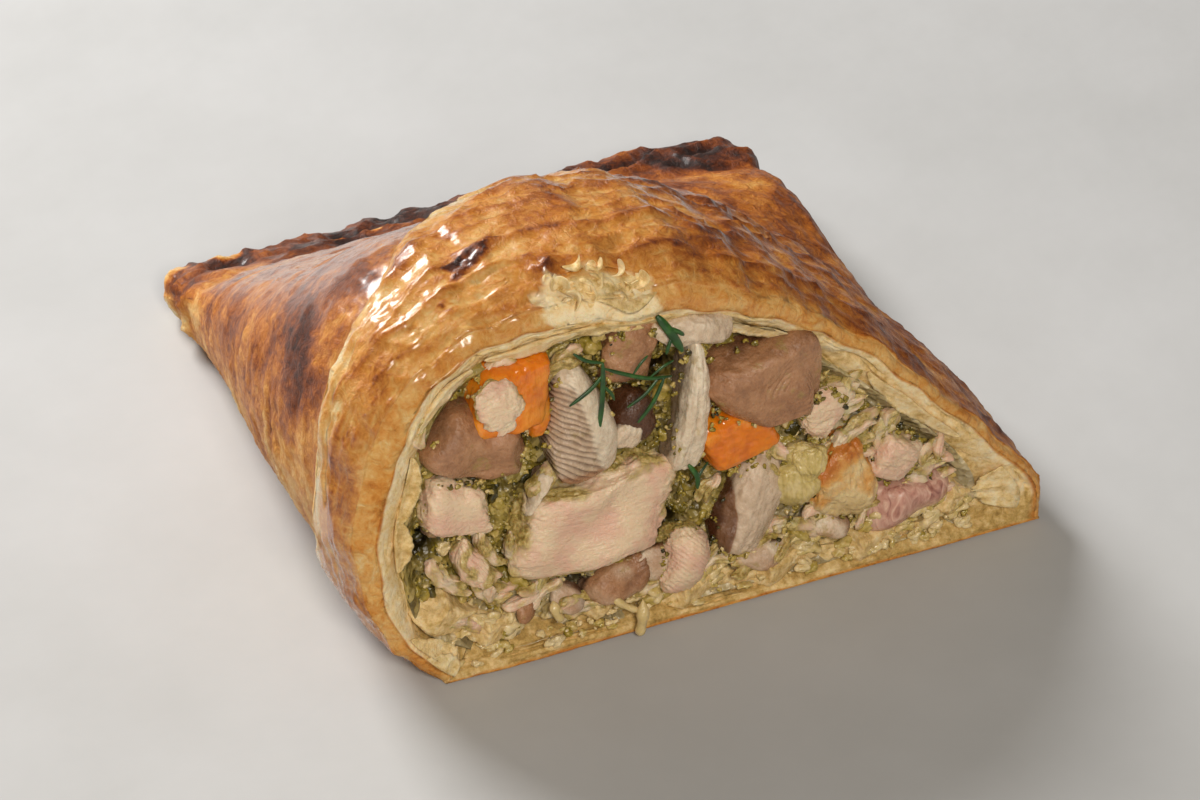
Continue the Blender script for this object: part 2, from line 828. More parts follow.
def torn_crust(position, place):
    """Where the skin over the cut's crown is torn off and pale layers show."""
    away = math.hypot((position - 5.80) / 0.56, (place.y - 2.2 * (5.8 - position)) / 4.8)
    return smoothstep(0.0, 0.10, 1 - away + 0.42 * rough(place, 4.0, 14.0, 4))


# Each relief function gives how far the skin stands out at a place, its tone, and how much it is dough and
# moist.


def end_relief(column, share, place, broad, fine):
    """The thin side wall of the closed end, in layers."""
    layers = rough(Vector((0.16 * place.x, 0.0, place.z)), 1.3, 12.0, 3)
    return 0.5 * layers - 0.3, 0.50 - 0.22 * layers + 0.25 * rough(place, 6.0, 3.0, 3), 0.0, 0.0


def tail_relief(column, share, place, broad, fine):
    """The long slope, streaked up its fold side, with a dark, pinched border."""
    position, y = column.position, place.y
    fold_side = smoothstep(4.2, 2.8, position) * smoothstep(0.0, 0.6, position)
    to_end = max(DEPTH - y, 0.0)
    border = smoothstep(BORDER_START + 4.0 * grain(place, 14.0, 3.0), BORDER_FULL, to_end)
    up_side = Vector((position * 0.8 - y / 9.0, y / 1.9 + 0.7 * grain(place, 12.0, 16.0), 0.0))
    streaks = noise.fractal(up_side, 0.7, 2.2, 4) * (0.6 + 0.8 * grain(place, 9.0, 17.0))
    lumps = ridges(scaled(place, y=1.5), 7.0, 4.0)
    hollows = smoothstep(0.05, 0.55, grain(scaled(place, y=1.35), 5.5, 6.0))
    relief = 0.75 * broad + 0.22 * fine + 0.30 * streaks * fold_side * (1 - border)
    relief += 0.22 * rough(scaled(place, y=0.35), 6.5, 7.0, 3) * (1 - border)
    relief += border * (0.9 * lumps - 0.9 * hollows + 0.35 * rough(place, 3.2, 8.0, 4) + 0.3)
    relief -= 0.7 * bell((to_end - 15.0) / 4.5) * (1 - fold_side)
    low_side = smoothstep(2.8, 1.2, position)
    tone = 0.48 + 0.09 * smoothstep(2.0, 3.6, position) + 0.24 * rough(place, 13.0, 9.0, 4)
    tone -= streaks * fold_side * lerp(0.16, 0.34, low_side)
    tone -= 0.14 * low_side
    tone += 0.12 * spot(column, y, (3.1, 30), (0.9, 16))
    tone += border * (0.24 + 0.30 * hollows - 0.08 * lumps + 0.12 * grain(place, 4.0, 5.0))
    tone -= border * 0.35 * low_side
    tone -= border * 0.60 * smoothstep(0.40, 0.52, grain(place, 6.0, 41.0))
    tone -= 0.14 * smoothstep(6.0, 0.0, y - column.lip_end) * (1 - fold_side)
    return relief, tone, 0.0, 0.0


def lip_relief(column, share, place, broad, fine):
    """The band's pale free edge, in a few layers."""
    layers = math.sin(2 * math.pi * (3.2 * share + 0.6 * grain(place, 16.0, 2.0)))
    relief = 0.75 * broad + 0.10 * fine - 0.30 * max(layers, 0.0) * math.sin(math.pi * share)
    tone = 0.10 + 0.08 * share + 0.10 * rough(place, 5.0, 5.0, 3) + 0.16 * max(layers, 0.0)
    return relief, tone, 0.0, 0.0


def band_relief(column, share, place, broad, fine):
    """The raised band: folds and creases, a burnt blister, a groove along the lip and the torn patch."""
    position, y = column.position, place.y
    from_lip = column.lip_end - y
    wander = 0.9 * grain(place, 15.0, 18.0)
    around = Vector((0.55 * position + wander, y / 5.6 + 0.9 * grain(place, 18.0, 5.0), 0.3))
    folds = 1 - min(abs(noise.noise(around)) * 2.4, 1.0)
    creases = ridges(place, 4.4, 19.0)
    crown = smoothstep(2.6, 4.2, position) * smoothstep(9.5, 7.5, position)
    flow = noise.fractal(Vector((1.5 * position, 0.8 * y + 1.2 * grain(place, 9.0, 24.0), 0.0)), 0.8, 2.1, 4)
    relief = 0.75 * broad + 0.20 * fine
    relief += smoothstep(0.0, 4.0, from_lip) * (0.55 * folds**2 + 0.26 * creases**2) * (0.45 + 0.75 * crown)
    relief += 0.16 * rough(place, 4.0, 6.0, 3)
    relief += 0.22 * flow
    tone = 0.38 - 0.05 * crown + 0.18 * rough(place, 13.0, 11.0, 3)
    tone += 0.13 * folds**2 * (0.4 + crown) + 0.06 * creases + 0.16 * flow
    tone += 0.08 * smoothstep(5.0, 0.0, y) - 0.16 * smoothstep(2.6, 0.6, y + grain(place, 5.0, 44.0))
    tone -= lerp(0.36, 0.20, crown) * smoothstep(4.2 + 1.5 * grain(place, 6.0, 8.0), 0.6, from_lip)
    tone += 0.16 * smoothstep(6.2, 7.6, position) * smoothstep(12.0, 9.0, position)
    tone += 0.16 * spot(column, y, (3.6, 4.5), (0.55, 4.0))
    wrinkled = spot(column, y, (5.45, 5.5), (0.32, 3.4)) * ridges(place, 2.6, 3.0)
    relief += 1.1 * wrinkled
    tone += 0.26 * wrinkled
    burnt = spot(column, y, (4.98, 11.5 + 3.6 * (position - 4.98)), (0.46, 2.5))
    burnt = smoothstep(0.25, 0.55, burnt + 0.45 * rough(scaled(place, x=0.4), 1.6, 4.0, 3))
    relief += 0.25 * burnt * (1 + 1.5 * rough(place, 0.9, 6.0, 3))
    tone = lerp(tone, 0.90 - 0.2 * ridges(scaled(place, x=0.3), 1.2, 3.0), burnt)
    groove = smoothstep(1.6, 2.2, position) * smoothstep(4.4, 3.6, position)
    groove *= bell((from_lip - 3.4 - 0.9 * grain(place, 9.0, 15.0)) / 0.9)
    relief -= 0.5 * groove
    tone -= 0.14 * groove
    torn = torn_crust(position, place)
    relief -= torn * (0.55 + 0.7 * rough(scaled(place, x=0.35), 1.3, 5.0, 4)) - 0.5 * bell((torn - 0.25) / 0.3)
    return relief, tone, torn, 0.0


def rim_relief(column, share, place, broad, fine):
    """The rounded edge between the skin and the cut."""
    relief = 0.75 * broad + 0.28 * rough(place, 2.0, 4.0, 3)
    return relief, 0.27 + 0.12 * grain(place, 4.0, 2.0), torn_crust(column.position, place), 0.0


def cut_relief(column, share, place, broad, fine):
    """The cut dough, in flaky layers that follow the outline, and soaked near the base."""
    where = Vector((column.position * 1.15, 5.2 * share, 0.5))
    layered = 1 - min(abs(noise.noise(where) + 0.3 * noise.noise(2.7 * where)) * 3.4, 1.0)
    flaky = smoothstep(-0.25, 0.35, grain(place, 9.0, 12.0))
    relief = (0.75 * broad + 0.35 * fine) * 0.6
    relief -= 1.15 * layered**2 * flaky * math.sin(math.pi * clamp(share * 1.1))
    low = 0.75 * smoothstep(7.0, 3.0, place.z)
    moist = clamp(0.5 * share + 0.5 * grain(place, 5.0, 3.0) + 0.5 * layered * flaky + low)
    edge = smoothstep(0.02, 0.12, share + 0.06 * grain(place, 3.0, 5.0))
    return relief, 0.42 - 0.2 * share, max(edge, torn_crust(column.position, place)), moist


def inside_relief(column, share, place, broad, fine):
    return 0.0, 0.2, 1.0, 1.0


RELIEFS = {
    "end": end_relief,
    "tail": tail_relief,
    "lip": lip_relief,
    "band": band_relief,
    "rim": rim_relief,
    "cut": cut_relief,
    "inside": inside_relief,
}


def dullness(name, column, y):
    """How little gloss the skin has: least on the band, most on the tail's fold side."""
    tail_side = smoothstep(4.1, 3.0, column.position) if name != "band" else 0.0
    far_slope = smoothstep(6.8, 8.6, column.position)
    border = smoothstep(BORDER_START, BORDER_FULL, DEPTH - y)
    return max(MATT_TAIL * tail_side, MATT_FAR_SLOPE * far_slope, MATT_BORDER * border)


def cut_foot_height(place, share, t):
    """How much of its height the dough under the filling keeps in the cut, where it is torn and sags."""
    dip = 0.30 + 0.25 * smoothstep(38.0, 55.0, place.x)
    dip += 0.5 * noise.noise(Vector((0.12 * place.x, 0.0, 4.0))) + 0.3 * noise.noise(place / 2.5)
    return 1 - clamp(dip) * share * math.sin(math.pi * t) ** 0.4


def make_crust(finish):
    """The whole crust, inside and out, as one closed skin."""
    rings = [(name, maker, i / (count - 1)) for name, maker, count in STRETCHES for i in range(count)]
    around = OUTLINE_COLUMNS + BASE_COLUMNS
    bm, layers = new_bmesh([*DOUGH_LAYERS, "dull"])
    places = add_sheet(bm, around, len(rings) - 1)
    points = [[maker(column, share) for column in COLUMNS] for _, maker, share in rings]
    tags = {}
    for vert, (u, v) in places.items():
        i = round(u * around)
        j = round(v * (len(rings) - 1))
        name, _, share = rings[j]
        row = points[j]
        if i <= OUTLINE_COLUMNS:
            point, column = row[i], COLUMNS[i]
        else:
            t = (i - OUTLINE_COLUMNS) / BASE_COLUMNS
            point, column = on_base(row[0], row[-1], t), COLUMNS[0 if t > 0.5 else -1]
            if name == "cut":
                point.z *= cut_foot_height(point, share, t)
        vert.co = point
        tags[vert] = (name, column, share, i > OUTLINE_COLUMNS)
    bm.normal_update()
    moves = []
    for vert, (name, column, share, base) in tags.items():
        broad = rough(vert.co, 26.0, 1.0, 2)
        fine = rough(vert.co, 2.4, 2.0, 4)
        relief, tone, dough, moist = RELIEFS[name](column, share, vert.co, broad, fine)
        if base and name in ("end", "tail", "lip", "band"):
            relief = 0.0
            tone = 0.42 + 0.12 * rough(vert.co, 9.0, 2.0, 3)
        if name != "cut" and vert.co.z < FOOT_HEIGHT:
            relief *= vert.co.z / FOOT_HEIGHT
        vert[layers["tone"]] = clamp(tone)
        vert[layers["dough"]] = dough
        vert[layers["moist"]] = moist
        vert[layers["dull"]] = dullness(name, column, vert.co.y)
        moves.append((vert, vert.normal * relief))
    flipped = -1 if bm.calc_volume(signed=True) < 0 else 1
    for vert, move in moves:
        vert.co = in_world(vert.co + flipped * move)
    seal(bm, SEAM_GAP)
    add_piece("crust_skin", bm, finish, ["crust"])


# The filling: a bed of sauce and chopped bits, with the larger pieces set into it

FILLING_RECESS = 3.4
GAP_DEPTH = 7.0
BED_MIDDLE = Vector((0.43 * WIDTH, 0.0, 0.42 * BODY_HEIGHT))

# Dark hollows between the pieces: across, up and radius.
GAPS = [
    (10.5, 21.5, 3.2),
    (13.5, 41.0, 2.2),
    (25.5, 34.0, 3.0),
    (26.0, 22.5, 2.6),
    (46.0, 39.0, 3.0),
    (46.5, 14.0, 3.4),
    (73.5, 25.5, 3.0),
    (63.5, 31.0, 2.4),
    (33.0, 8.0, 2.2),
    (52.5, 26.0, 2.4),
]

# How finely the bed is made: rings over its face and along its wall, columns round its mouth and along its
# base.
BED_FACE, BED_WALL = 110, 14
BED_COLUMNS, BED_BASE = 260, 180


def gap_at(across, up):
    return max(bell(math.hypot(across - x, up - z) / radius) for x, z, radius in GAPS)


def bed_depth(across, up):
    """How far behind the cut the bed's surface lies."""
    place = Vector((across, 0.0, up))
    lumps = 1.3 * rough(place, 7.0, 21.0, 3) + 0.6 * rough(place, 1.8, 22.0, 3)
    lumps += 0.3 * rough(place, 0.8, 23.0, 2)
    return FILLING_RECESS - lumps + GAP_DEPTH * gap_at(across, up)


def paleness(across, up):
    """Where shredded chicken and soft cheese show more than herbs: low down and towards the sealed edge."""
    return clamp(smoothstep(14.0, 8.0, up) + 0.8 * smoothstep(58.0, 70.0, across))


def make_bed(finish):
    """The filling's whole body: a lumpy face in the cut, then back along the crust's hollow."""
    around = BED_COLUMNS + BED_BASE
    bm, layers = new_bmesh(["deep", "pale"])
    places = add_sheet(bm, around, BED_FACE + BED_WALL)
    mouth = [Column(LAST_ROW * i / BED_COLUMNS) for i in range(BED_COLUMNS + 1)]
    for vert, (u, v) in places.items():
        i = round(u * around)
        j = round(v * (BED_FACE + BED_WALL))
        back = 1.4 + (CAVITY_DEPTH - 2.0) * max(j - BED_FACE, 0) / BED_WALL
        if i <= BED_COLUMNS:
            edge = mouth[i].inner(back)
        else:
            edge = on_base(mouth[0].inner(back), mouth[-1].inner(back), (i - BED_COLUMNS) / BED_BASE)
            edge.z = lerp(1.7, edge.z, smoothstep(4.0, 10.0, back))
        if j <= BED_FACE:
            share = (j / BED_FACE) ** 0.8
            point = BED_MIDDLE.lerp(edge, share)
            point.y = lerp(bed_depth(point.x, point.z), edge.y, smoothstep(0.93, 1.0, share))
            vert[layers["deep"]] = clamp(1.6 * gap_at(point.x, point.z) + 0.22 + 0.5 * grain(point, 4.0, 6.0))
        else:
            point = edge
        vert[layers["pale"]] = paleness(point.x, point.z)
        vert.co = in_world(point)
    seal(bm, SEAM_GAP)
    add_piece("filling_bed", bm, finish, ["filling"])


def turned(roll, pitch=0.0, yaw=0.0):
    """A turn clockwise as seen from the cut, after tipping forwards and swinging round."""
    turns = [("Y", roll), ("X", pitch), ("Z", yaw)]
    matrix = Matrix.Identity(3)
    for axis, angle in turns:
        matrix = matrix @ Matrix.Rotation(math.radians(angle), 3, axis)
    return matrix


def add_lump(bm, layers, centre, size, turn, square, detail, shape):
    """Adds a rounded lump between an ellipsoid (square 2) and a box.

    shape takes a point as shares of the half sizes, in millimetres and its outward direction. It gives the
    point's place and its attributes.
    """
    made = bmesh.ops.create_icosphere(bm, subdivisions=detail, radius=1.0)
    half = 0.5 * Vector(size)
    for vert in made["verts"]:
        length = sum(abs(part) ** square for part in vert.co) ** (1 / square)
        unit = vert.co / length
        point = unit * half
        out = Vector([math.copysign(abs(unit[i]) ** (square - 1), unit[i]) / half[i] for i in range(3)])
        place, values = shape(unit, point, out.normalized())
        vert.co = centre + turn @ place
        for name, value in values.items():
            vert[layers[name]] = value


def wobble(point, size, depth, seed):
    """The point, pushed about so that a lump loses its regular outline."""
    return point + depth * noise.noise_vector(point / size + Vector((seed * 3.7, seed * 1.9, seed * 7.1)))


def sunken(unit, point):
    """How far a place on a piece lies back in the sauce, where it is stained and dark."""
    return 0.85 * smoothstep(-0.62, 0.10, unit.y + 0.35 * grain(point, 2.2, 31.0))


RIB_SPACING = 0.62


def chicken_shape(seed, coat=0.6, hatch=0.0, slant=0.0, taper=0.0, crumbly=0.0):
    """Torn chicken: smooth where sliced, fibrous and sauced round its edges, ribbed where hatch is given."""

    def shape(unit, point, out):
        rim = smoothstep(0.62, 1.0, max(abs(unit.x), abs(unit.z)))
        fibre = rough(scaled(point, x=0.3), 1.1, seed + 1, 3)
        torn = max(rim, crumbly)
        relief = lerp(0.07, 0.26, torn) * fibre + lerp(0.05, 0.16, torn) * rough(point, 0.9, seed + 5, 4)
        relief += torn * (0.5 * rough(scaled(point, x=0.6), 1.9, seed + 2, 5) + 0.15)
        relief -= 0.35 * ridges(point, 4.5, seed + 6) * rim
        ribs = math.sin(2 * math.pi * (point.z + 0.6 * point.x) / RIB_SPACING)
        relief -= hatch * max(ribs, 0.0) * 0.11
        place = wobble(point + out * relief, 8.0, 1.7, seed)
        place.x += slant * unit.z - taper * unit.z * point.x
        sauced = coat * rim * (0.65 + 0.8 * grain(point, 3.5, seed + 3))
        sauced += 0.3 * coat * smoothstep(-0.6, -0.95, unit.z)
        sauced += 0.9 * smoothstep(-0.45, 0.15, unit.y + 0.3 * grain(point, 2.5, seed + 7))
        return place, {"sauced": clamp(sauced)}

    return shape


def shred_shape(seed, bend):
    """A thin strand of torn meat, bent along its length."""

    def shape(unit, point, out):
        strands = rough(scaled(point, z=0.2), 0.6, seed, 4)
        place = wobble(point + out * (0.24 * strands + 0.10 * rough(point, 0.8, seed, 3)), 2.6, 0.55, seed)
        place.x += bend * (unit.z * unit.z - 0.5) + 0.8 * grain(Vector((0.0, 0.0, point.z)), 2.5, seed)
        return place, {"sauced": clamp(0.62 + 0.8 * grain(point, 2.0, seed + 4))}

    return shape


def cap_shape(seed, swirl=0.0, lobe=0.0, dark_end=0.0, skin=0.85):
    """A mushroom cap's skin, creased in rings when swirl is given."""

    def shape(unit, point, out):
        spread = math.hypot(point.x - 2.6, 1.3 * (point.z + 0.6))
        rings = math.sin(math.pi * (spread / 0.95 + 1.3 * grain(point, 5.0, seed)))
        turned_in = swirl * (1 - abs(rings)) ** 2 * bell((spread - 3.0) / 3.6)
        turned_in *= smoothstep(-0.4, 0.3, grain(point, 4.0, seed + 2))
        relief = 0.14 * rough(point, 1.6, seed + 1, 4) - 0.32 * turned_in
        relief += 0.5 * rough(point, 5.0, seed + 5, 2)
        place = wobble(point + out * relief, 7.0, 1.9, seed)
        place.z += lobe * smoothstep(0.3, 1.0, unit.x) * (point.x * -0.35)
        place.z *= 1 - 0.45 * lobe * smoothstep(0.1, -1.0, unit.x)
        fold = 0.40 * turned_in + dark_end * smoothstep(0.35, 0.9, unit.x) + sunken(unit, point)
        return place, {"skin": skin + 0.25 * grain(point, 3.0, seed), "fold": clamp(fold)}

    return shape


def slice_shape(seed, skin_side, taper=0.0, bend=0.0, pale=0.2, uneven=1.5):
    """A slice of mushroom with its skin along one side, seen edge on."""

    def shape(unit, point, out):
        fibres = rough(scaled(point, z=0.18), 1.0, seed, 3)
        place = point + out * (0.20 * fibres + 0.4 * rough(point, 3.5, seed + 1, 3))
        place = wobble(place, 7.0, uneven, seed)
        place.x *= 1 - taper * (0.5 + 0.5 * unit.z)
        place.x += bend * (unit.z * unit.z - 0.4)
        across = unit.x * skin_side[0] + unit.z * skin_side[1]
        skin = smoothstep(0.66, 0.82, across)
        return place, {"skin": max(skin, pale), "fold": clamp(0.65 * skin + sunken(unit, point))}

    return shape


def gills_shape(unit, point, out):
    """The underside of a torn cap: a fan of fine gills on one side and smooth flesh on the other."""
    wide = lerp(0.52, 1.0, smoothstep(1.0, -0.35, unit.z))
    lean = math.radians(26.0 - 16.0 * unit.z)
    phase = (point.z * math.cos(lean) + point.x * math.sin(lean)) / 0.85 + 0.5 * grain(point, 3.0, 4.0)
    lamella = 0.5 + 0.5 * math.sin(2 * math.pi * phase)
    gilled = smoothstep(0.25, -0.05, unit.x + 0.30 * unit.z) * smoothstep(-0.92, -0.72, unit.z)
    gilled *= smoothstep(0.9, 0.7, unit.z) * smoothstep(0.35, -0.2, unit.y)
    place = point + out * (0.10 * rough(point, 1.5, 3.0, 3) - gilled * 0.30 * (1 - lamella) ** 1.5)
    place = wobble(place, 9.0, 1.2, 5.0)
    place.x = place.x * wide - 1.2 * unit.z
    skin = 0.38 * gilled + 0.65 * smoothstep(-0.62, -0.9, unit.z)
    fold = 0.6 * gilled * (1 - lamella) ** 2 + sunken(unit, point)
    return place, {"skin": clamp(skin + 0.1), "fold": clamp(fold)}


def dice_shape(seed, slump=0.0):
    """A soft cube of pumpkin."""

    def shape(unit, point, out):
        place = point + out * (0.28 * rough(point, 3.2, seed, 3) + 0.08 * rough(point, 0.9, seed + 1, 2))
        place = wobble(place, 10.0, 1.3, seed)
        place.x += slump * unit.z
        return place, {}

    return shape


def flaky_shape(seed, depth=0.5, size=2.0):
    """Anything torn and layered: leek, ham, soaked bread."""

    def shape(unit, point, out):
        layered = rough(scaled(point, z=0.4), size, seed, 4)
        place = wobble(point + out * (depth * layered), 6.0, 1.5, seed)
        return place, {"shade": clamp(0.5 + 0.5 * unit.z + 0.4 * grain(point, 3.0, seed))}

    return shape


def front_centre(node, deep, forward=0.0):
    """The middle of a piece as deep as given, whose front stands where the CAD piece's does."""
    low, high = (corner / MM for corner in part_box(node))
    return Vector((0.5 * (low.x + high.x), low.y + 0.5 * deep - forward, 0.5 * (low.z + high.z)))


def make_lump(node, size, roll, square, shape, detail=6, extras=(), *, finish, slot, names=()):
    """One of the larger pieces, with any further lumps that belong to it. A size is width, height and depth."""
    bm, layers = new_bmesh(names)
    centre = front_centre(node, size[2])
    lumps = [((0.0, 0.0, 0.0), size, 0, square, shape), *extras]
    for i, (offset, (wide, tall, deep), extra_roll, squareness, form) in enumerate(lumps):
        place = centre + turned(roll) @ Vector(offset)
        turn = turned(roll + extra_roll)
        add_lump(bm, layers, place, (wide, deep, tall), turn, squareness, 6 if i else detail, form)
    face_outwards(bm)
    add_piece(f"{node}_looks", bm, finish, [node])


def make_chicken(finish):
    piece = partial(make_lump, finish=finish, slot="chicken", names=["sauced"])
    piece("chicken_chunk", (22.5, 14.5, 14), 3, 4.6, chicken_shape(1, 0.95, slant=1.6), 7)
    piece("chicken_bit_left", (9, 8.6, 8), 14, 4.0, chicken_shape(2, 0.4, slant=-0.8))
    piece("chicken_right", (8, 7, 8), 34, 3.4, chicken_shape(3, 0.8, crumbly=0.7))
    piece("chicken_bit_right", (6.4, 8.0, 6), 16, 3.6, chicken_shape(4, 0.3, taper=-0.5, crumbly=0.3))
    piece("chicken_strip_low", (6.6, 9.4, 7), 12, 2.7, chicken_shape(5, 0.4, hatch=1.0))
    shred = shred_shape(6, 1.0)
    second = [((3.0, -0.4, 0.6), (2.2, 8.6, 3), 8, 2.2, shred)]
    piece("chicken_shred_left", (4, 9.5, 5), -38, 2.4, shred, extras=second)


def wedge_shape(unit, point, out):
    """Dark, wet mushroom skin."""
    place = wobble(point + out * 0.2 * rough(point, 2.0, 6.0, 3), 6.0, 1.2, 6.0)
    return place, {"skin": 1.0, "fold": 0.93}


def make_mushrooms(finish):
    piece = partial(make_lump, finish=finish, slot="mushroom", names=["skin", "fold"])
    piece("mushroom_cap_right", (19.6, 13.2, 11.0), 14, 2.5, cap_shape(1, swirl=0.9, lobe=0.7), 7)
    piece("mushroom_cap_left", (15.5, 10.5, 10.0), 16, 2.5, cap_shape(2, swirl=0.15, dark_end=0.35))
    piece("mushroom_gills", (10.5, 18.5, 8.0), 0, 2.8, gills_shape, 7)
    strip = slice_shape(3, (0, 0), taper=0.62, bend=-0.9, pale=0.0, uneven=0.6)
    piece("mushroom_strip", (5.4, 20.5, 6), 4, 4.0, strip)
    piece("mushroom_stem_top", (8.4, 10.4, 7), 8, 3.0, cap_shape(4))
    piece("mushroom_slice_top", (12, 4, 6), 12, 2.8, slice_shape(5, (0, 0), pale=0.42))
    disc = [((-1.7, -1.9, -1.9), (4.6, 4.0, 2.6), 20, 2.8, slice_shape(7, (0, 0), pale=0.42, uneven=0.7))]
    piece("mushroom_wedge", (6.4, 8, 6.5), 0, 2.4, wedge_shape, extras=disc)
    middle = slice_shape(8, (-1.0, -0.55), bend=0.8, pale=0.46)
    piece("mushroom_slice_middle", (9.5, 17, 8), 26, 2.3, middle)
    piece("mushroom_low", (9.4, 5.2, 7), -8, 2.8, cap_shape(9, swirl=0.5, dark_end=0.5, skin=0.62))


def make_vegetables():
    pumpkin = partial(make_lump, finish=make_pumpkin_finish(), slot="pumpkin")
    facet = [((4.0, -2.6, -1.6), (3.6, 11.5, 4.0), -6, 2.3, dice_shape(3))]
    pumpkin("pumpkin_dice_left", (10.8, 10, 10), 8, 6.5, dice_shape(1, 0.5), extras=facet)
    drip = [((-1.0, -1.0, -6.2), (2.6, 2.6, 3.0), 0, 2.2, dice_shape(4))]
    pumpkin("pumpkin_dice_right", (9.6, 9, 9), -14, 6.0, dice_shape(2, -0.6), extras=drip)
    leaf = [((1.6, -1.5, 3.0), (4.6, 5.0, 4.0), 24, 2.4, flaky_shape(12, 0.6, 1.4))]
    leek = partial(make_lump, finish=make_leek_finish(), slot="leek", names=["shade"])
    leek("leek", (6.6, 7.6, 6), -20, 3.0, flaky_shape(11, 0.35, 1.2), extras=leaf)
    ham = partial(make_lump, finish=make_ham_finish(), slot="ham", names=["shade"])
    ham("ham", (14, 7.6, 9), -2, 3.0, flaky_shape(13, 0.20, 3.6))
    crouton = partial(make_lump, finish=make_crouton_finish(), slot="crouton", names=["shade"])
    crouton("crouton", (8.8, 12.6, 8), -8, 3.4, flaky_shape(14, 0.55, 1.5))


# The small bits. They lie in the open parts of the mouth, between the larger pieces.

PIECE_BOXES = [
    [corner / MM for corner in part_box(node)]
    for node in (
        "chicken_chunk",
        "chicken_bit_left",
        "chicken_right",
        "chicken_bit_right",
        "chicken_strip_low",
        "mushroom_cap_right",
        "mushroom_cap_left",
        "mushroom_gills",
        "mushroom_strip",
        "mushroom_stem_top",
        "mushroom_slice_top",
        "mushroom_slice_middle",
        "pumpkin_dice_left",
        "pumpkin_dice_right",
        "crouton",
        "ham",
    )
]
MOUTH = [column.inner(0.0) for column in COLUMNS[::4]]


def inside_piece(across, up, reach=0.8):
    """Whether a place in the cut is covered by one of the larger pieces."""
    place = in_world(Vector((across, 0.0, up)))
    for low, high in PIECE_BOXES:
        middle = 0.5 * (low + high)
        half = 0.5 * (high - low)
        if ((place.x - middle.x) / half.x) ** 2 + ((place.z - middle.z) / half.z) ** 2 < reach:
            return True
    return False


def inside_mouth(across, up, margin):
    """Whether a place lies in the filling's mouth, that far from the dough."""
    place = Vector((across, 0.0, up))
    edge = min(MOUTH, key=lambda point: math.hypot(across - point.x, up - point.z))
    distance = math.hypot(across - edge.x, up - edge.z)
    inward = (BED_MIDDLE - edge).dot(place - edge) > 0
    return inward and distance > margin and up > BASE_WALL + margin


def free_place(rng, margin, reach=0.8):
    """A random place in the mouth that no large piece covers."""
    while True:
        across = rng.uniform(0.08, 0.88) * WIDTH
        up = rng.uniform(0.08, 0.9) * BODY_HEIGHT
        if inside_mouth(across, up, margin) and not inside_piece(across, up, reach):
            return across, up


BATCH = 40
CLINGING_TRIES = 1300
CURD_TRIES = 380
CLINGING_SQUARE = 2.6
FLAKE_COUNT = 42


def add_scatter(name, finish, names, lumps):
    """Joins many small lumps into one piece. They are made a few at a time, which is far quicker."""
    whole, _ = new_bmesh(names)
    for first in range(0, len(lumps), BATCH):
        bm, layers = new_bmesh(names)
        for lump in lumps[first : first + BATCH]:
            add_lump(bm, layers, *lump)
        face_outwards(bm)
        mesh = bpy.data.meshes.new("batch")
        bm.to_mesh(mesh)
        bm.free()
        whole.from_mesh(mesh)
        bpy.data.meshes.remove(mesh)
    add_piece(name, whole, finish)


def crumb_shape(size, shade, seed, depth=0.45):
    """A rough crumb of one shade."""

    def shape(unit, point, out):
        bumpy = rough(point, 0.6 * size, seed, 3)
        return point + out * (depth * size * bumpy), {"shade": clamp(shade + 0.25 * bumpy)}

    return shape


def sauce_bits(seed, count, sizes, detail):
    """Crumbs of herb and cheese, in drifts over the bed and up against the pieces."""
    rng = random.Random(seed)
    lumps = []
    while len(lumps) < count:
        across, up = free_place(rng, 0.5, 0.62)
        if grain(Vector((across, 0.0, up)), 4.5, seed) < rng.uniform(-0.7, 0.1):
            continue
        if gap_at(across, up) > rng.uniform(0.2, 0.6):
            continue
        size = rng.uniform(*sizes)
        shade = clamp(rng.gauss(0.33, 0.22) + 0.30 * paleness(across, up) - 0.8 * gap_at(across, up))
        centre = in_world(Vector((across, bed_depth(across, up) + 0.10 * size, up)))
        stretch = [size * rng.uniform(0.6, 1.7) for _ in range(3)]
        turn = turned(rng.uniform(0, 180), rng.uniform(0, 180))
        lumps.append((centre, stretch, turn, 2.6, detail, crumb_shape(size, shade, rng.uniform(0, 90))))
    return lumps


def clinging_crumbs():
    """Crumbs of sauce stuck round the sides of the larger pieces."""
    rng = random.Random(12)
    lumps = []
    for i in range(CLINGING_TRIES):
        low, high = PIECE_BOXES[i % len(PIECE_BOXES)]
        middle = 0.5 * (low + high)
        half = 0.5 * (high - low)
        angle = rng.uniform(0, 2 * math.pi)
        reach = 1.03 - 0.20 * rng.random() ** 1.3
        x = reach * math.cos(angle)
        z = reach * math.sin(angle)
        y = -max(1 - abs(x) ** CLINGING_SQUARE - abs(z) ** CLINGING_SQUARE, 0.0) ** (1 / CLINGING_SQUARE)
        centre = middle + Vector((x, y, z)) * half
        if centre.z < 3.0 or grain(centre, 5.0, 3.0) < rng.uniform(-0.5, 0.3):
            continue
        size = rng.uniform(0.25, 0.75)
        shape = crumb_shape(size, clamp(rng.gauss(0.40, 0.22)), rng.uniform(0, 90))
        lumps.append((centre, (size, 0.7 * size, 1.3 * size), turned(rng.uniform(0, 180)), 2.4, 2, shape))
    return lumps


